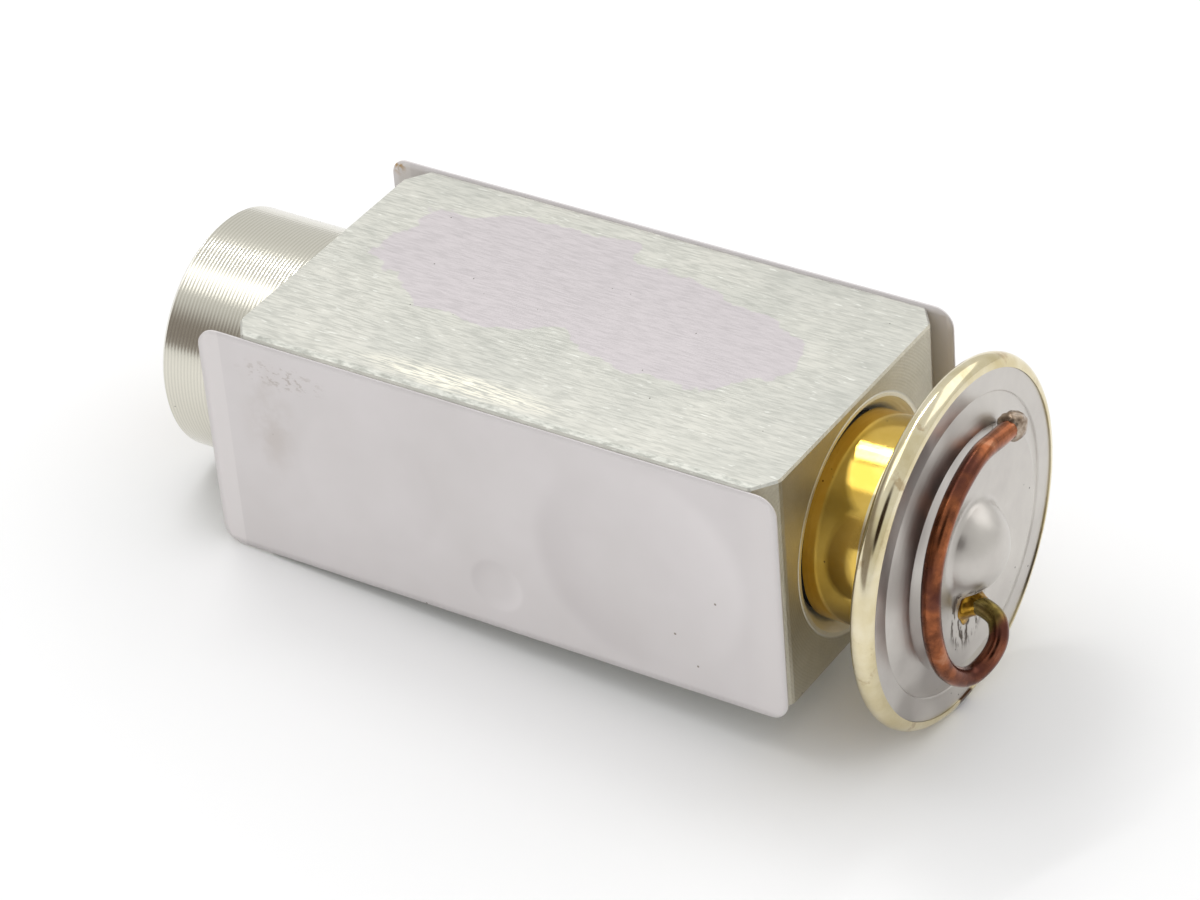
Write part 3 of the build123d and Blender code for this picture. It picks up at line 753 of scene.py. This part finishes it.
def film_sheet(name, low, high, face, outward, spots, material):
    """Film on the port face at y = face: a sheet with cut corners, pressed into the hollows."""
    film = bpy.context.scene.valve_film
    bm = bmesh.new()
    corners = [(low.x, low.z), (high.x, low.z), (high.x, high.z), (low.x, high.z)]
    bm.faces.new([bm.verts.new((x, face, z)) for x, z in corners])
    bmesh.ops.bevel(bm, geom=bm.verts[:], offset=film.corner, offset_type="OFFSET", segments=8,
                    profile=0.5, affect="VERTICES", material=-1)
    for axis, start, end in ((0, low.x, high.x), (2, low.z, high.z)):
        normal = Vector([float(i == axis) for i in range(3)])
        count = round((end - start) / film.cell)
        for step in range(1, count):
            at = normal * (start + (end - start) * step / count)
            bmesh.ops.bisect_plane(bm, geom=bm.verts[:] + bm.edges[:] + bm.faces[:], dist=TOUCHING,
                                   plane_co=at, plane_no=normal)
    for vert in bm.verts:
        past = max(0.0, boss_end - vert.co.x) / (boss_end - low.x)
        lift = film.curl * past ** 2 + film.thickness
        lift += FILM_WAVE * noise.noise(vert.co * FILM_WAVES_PER_METRE)
        lift -= film_press((vert.co.x, vert.co.z), spots, film.dish)
        vert.co.y += outward * lift
    bmesh.ops.recalc_face_normals(bm, faces=bm.faces[:])
    if outward * sum(facet.normal.y for facet in bm.faces) < 0:
        bmesh.ops.reverse_faces(bm, faces=bm.faces[:])
    bmesh.ops.solidify(bm, geom=bm.faces[:], thickness=film.thickness)
    return finish_piece(name, bm, material, "valve")


class VALVE_OT_port_films(bpy.types.Operator):
    """Builds the two peel-off films over the port faces"""
    bl_idname = "valve.port_films"
    bl_label = "Port films"

    def execute(self, context):
        material = polyethylene_film()
        front = film_sheet("front_film", front_low, front_high, front_high.y, -1,
                           (INLET_PORT, SUCTION_PORT, *BOLT_HOLES), material)
        rear = film_sheet("rear_film", rear_low, rear_high, rear_low.y, 1,
                          (OUTLET_PORT, SUCTION_PORT, *BOLT_HOLES), material)
        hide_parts("front_port_film")
        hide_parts("rear_port_film")
        return {"FINISHED"}


class VALVE_OT_charging_tube(bpy.types.Operator):
    """Builds the capillary as one smooth curve"""
    bl_idname = "valve.charging_tube"
    bl_label = "Charging tube"

    def execute(self, context):
        tube = context.scene.valve_tube
        curve = bpy.data.curves.new("capillary", "CURVE")
        curve.dimensions = "3D"
        curve.bevel_depth = tube.radius
        curve.bevel_resolution = tube.sides
        curve.use_fill_caps = True
        spline = curve.splines.new("NURBS")
        points = (TUBE_FOOT, *TUBE_ROUTE)
        spline.points.add(len(points) - 1)
        for point, (height, y, z) in zip(spline.points, points):
            point.co = (COVER_EDGE_FACE + height * MM, y * MM, z * MM, 1.0)
        spline.use_endpoint_u = True
        spline.order_u = 3
        spline.resolution_u = 16
        piece = bpy.data.objects.new("capillary", curve)
        context.scene.collection.objects.link(piece)
        curve.materials.append(annealed_copper())
        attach(piece, "valve")
        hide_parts("charging_tube")
        return {"FINISHED"}


class VALVE_OT_end_drop(bpy.types.Operator):
    """Builds the lumpy drop of solder that closes the capillary"""
    bl_idname = "valve.end_drop"
    bl_label = "Solder drop"

    def execute(self, context):
        solder = context.scene.valve_solder
        centre = (drop_low + drop_high) / 2
        bm = bmesh.new()
        bmesh.ops.create_icosphere(
            bm, subdivisions=5, radius=solder.drop_radius - solder.drop_roughness)
        coarse, fine = DROP_LUMPS
        for vert in bm.verts:
            out = vert.co.normalized()
            lump = noise.noise(vert.co * coarse) + 0.5 * noise.noise(vert.co * fine)
            vert.co += out * solder.drop_roughness * lump
        bmesh.ops.translate(bm, verts=bm.verts[:], vec=centre)
        stops = ((0.3, "#57463A"), (0.45, "#92806F"), (0.6, "#BBAC9D"), (0.74, "#E2DACE"))
        piece = finish_piece("solder_drop", bm, lumpy_metal("tin_solder", stops, 0.32, 0.06 * MM),
                             "valve")
        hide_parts("tube_end_drop")
        return {"FINISHED"}


class VALVE_OT_braze(bpy.types.Operator):
    """Builds the braze round the capillary's foot"""
    bl_idname = "valve.braze"
    bl_label = "Braze"

    def execute(self, context):
        solder = context.scene.valve_solder
        tube = context.scene.valve_tube
        bm = bmesh.new()
        inner = tube.radius * 0.9
        rim = []
        for step in range(BRAZE_STEPS + 1):
            share = step / BRAZE_STEPS
            radius = inner + (solder.braze_radius - inner) * (1 - share)
            rim.append(bm.verts.new((solder.braze_height * share ** BRAZE_FLARE, radius, 0)))
        edges = [bm.edges.new(pair) for pair in zip(rim, rim[1:])]
        bmesh.ops.spin(bm, geom=rim + edges, cent=(0, 0, 0), axis=(1, 0, 0), dvec=(0, 0, 0),
                       angle=2 * pi, steps=BRAZE_SIDES, use_merge=True, use_duplicate=False)
        bmesh.ops.holes_fill(bm, edges=bm.edges[:], sides=0)
        bmesh.ops.remove_doubles(bm, verts=bm.verts[:], dist=TOUCHING)
        bmesh.ops.recalc_face_normals(bm, faces=bm.faces[:])
        sideways, upward = BRAZE_LUMPS
        for vert in bm.verts:
            spread = Vector((0, vert.co.y, vert.co.z))
            vert.co += spread * BRAZE_SWELL * noise.noise(vert.co * sideways)
            if vert.co.x > 0.05 * MM:
                vert.co.x += BRAZE_RIPPLE * noise.noise(vert.co * upward)
        bmesh.ops.translate(bm, verts=bm.verts[:], vec=foot_on_cover)
        stops = ((0.3, "#4A3312"), (0.46, "#8F6A22"), (0.6, "#C79A38"), (0.75, "#E8C66A"))
        piece = finish_piece("braze_fillet", bm,
                             lumpy_metal("brazing_brass", stops, 0.28, 0.05 * MM), "valve")
        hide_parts("tube_braze")
        return {"FINISHED"}


# ---------------------------------------------------------------- stage


def stage_turn():
    """Turn that takes straight up to the floor's normal, as the valve lies on it."""
    stage = bpy.context.scene.valve_stage
    up = Vector((sin(stage.head_tilt), sin(stage.side_tilt), 1.0)).normalized()
    return Vector((0, 0, 1)).rotation_difference(up).to_matrix().to_4x4()


def area_light(name, place, size, power):
    """Rectangular soft light at a place in the floor's frame, aimed at the origin."""
    data = bpy.data.lights.new(name, "AREA")
    data.shape = "RECTANGLE"
    data.size, data.size_y = size
    data.energy = power
    lamp = bpy.data.objects.new(name, data)
    bpy.context.scene.collection.objects.link(lamp)
    away = Vector(place).to_track_quat("Z", "Y").to_matrix().to_4x4()
    lamp.matrix_world = stage_turn() @ Matrix.Translation(place) @ away
    lamp.visible_camera = False


def studio_world():
    """White surroundings for light and view; the metal also sees the dim side of the room,
    and a dark figure behind the camera."""
    stage = bpy.context.scene.valve_stage
    world = bpy.data.worlds.new("studio")
    bpy.context.scene.world = world
    world.use_nodes = True
    tree = world.node_tree
    tree.nodes.clear()
    toward = add(tree, "ShaderNodeTexCoord").outputs["Generated"]
    way = split(tree, toward)
    low_and_near = times(tree, rise(tree, way["Z"], 0.66, 0.40), rise(tree, way["Y"], 0.35, -0.1))
    dim = times(tree, rise(tree, way["X"], 0.45, 0.15), low_and_near)
    level = cos(stage.elevation)
    behind = (sin(stage.azimuth) * level, -cos(stage.azimuth) * level, sin(stage.elevation))
    facing = vector(tree, "DOT_PRODUCT", toward, behind, "Value")
    walls = blend(tree, dim, "#F6F6F4", "#A09891")
    room = blend(tree, rise(tree, facing, 0.92, 0.98), walls, "#3A2C24")
    mirrored = add(tree, "ShaderNodeLightPath").outputs["Is Glossy Ray"]
    background = add(tree, "ShaderNodeBackground", {
        "Color": blend(tree, mirrored, "#FFFFFF", room), "Strength": 0.85})
    add(tree, "ShaderNodeOutputWorld", {"Surface": background.outputs[0]})


class VALVE_OT_stage(bpy.types.Operator):
    """Builds the floor under the lying valve, the soft lights and the camera"""
    bl_idname = "valve.stage"
    bl_label = "Stage"

    def execute(self, context):
        stage = context.scene.valve_stage
        turn = stage_turn()
        up = turn.col[2].to_3d()
        lowest = min(up.dot(v.co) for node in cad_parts.values() for v in node.data.vertices)
        bm = bmesh.new()
        bmesh.ops.create_grid(bm, x_segments=1, y_segments=1, size=FLOOR_REACH)
        bmesh.ops.transform(bm, matrix=turn, verts=bm.verts[:])
        bmesh.ops.translate(bm, verts=bm.verts[:], vec=up * lowest)
        mesh = bpy.data.meshes.new("floor")
        bm.to_mesh(mesh)
        bm.free()
        floor = bpy.data.objects.new("floor", mesh)
        context.scene.collection.objects.link(floor)
        material, tree, shader, _ = new_material("white_paper")
        paint(tree, shader, colour("#F4F4F4"), 0.9, 0.0)
        mesh.materials.append(material)

        studio_world()
        for light in LIGHTS:
            area_light(*light)

        data = bpy.data.cameras.new("camera")
        data.lens = stage.lens
        data.sensor_width = 36.0
        data.clip_start, data.clip_end = 0.01, 20.0
        camera = bpy.data.objects.new("camera", data)
        context.scene.collection.objects.link(camera)
        around = Matrix.Rotation(stage.azimuth, 4, "Z") @ Matrix.Rotation(
            pi / 2 - stage.elevation, 4, "X") @ Matrix.Rotation(stage.roll, 4, "Z")
        back = Matrix.Translation((0, 0, stage.distance))
        camera.matrix_world = Matrix.Translation(stage.aim) @ around @ back
        context.scene.camera = camera
        context.scene.view_settings.view_transform = "Standard"
        return {"FINISHED"}


class VALVE_PT_panel(bpy.types.Panel):
    """Lists the valve's build steps and their sizes"""
    bl_idname = "VALVE_PT_panel"
    bl_label = "Expansion valve"
    bl_space_type = "VIEW_3D"
    bl_region_type = "UI"
    bl_category = "Valve"

    def draw(self, context):
        for operator in OPERATORS:
            self.layout.operator(operator.bl_idname)
        for name, group in SETTINGS.items():
            box = self.layout.box()
            settings = getattr(context.scene, name)
            for prop in group.__annotations__:
                box.prop(settings, prop)


SETTINGS = {
    "valve_film": FilmSettings,
    "valve_tube": TubeSettings,
    "valve_solder": SolderSettings,
    "valve_spring": SpringSettings,
    "valve_finish": FinishSettings,
    "valve_stage": StageSettings,
}
OPERATORS = (
    VALVE_OT_block,
    VALVE_OT_adjuster,
    VALVE_OT_valve_train,
    VALVE_OT_spring,
    VALVE_OT_power_head,
    VALVE_OT_port_films,
    VALVE_OT_charging_tube,
    VALVE_OT_end_drop,
    VALVE_OT_braze,
    VALVE_OT_stage,
)


def register():
    for group in (*SETTINGS.values(), *OPERATORS, VALVE_PT_panel):
        bpy.utils.register_class(group)
    for name, group in SETTINGS.items():
        setattr(bpy.types.Scene, name, PointerProperty(type=group))


def unregister():
    for name in SETTINGS:
        delattr(bpy.types.Scene, name)
    for group in reversed((*SETTINGS.values(), *OPERATORS, VALVE_PT_panel)):
        bpy.utils.unregister_class(group)


def main():
    register()
    for operator in OPERATORS:
        category, name = operator.bl_idname.split(".")
        getattr(getattr(bpy.ops, category), name)()


if __name__ == "__main__":
    main()
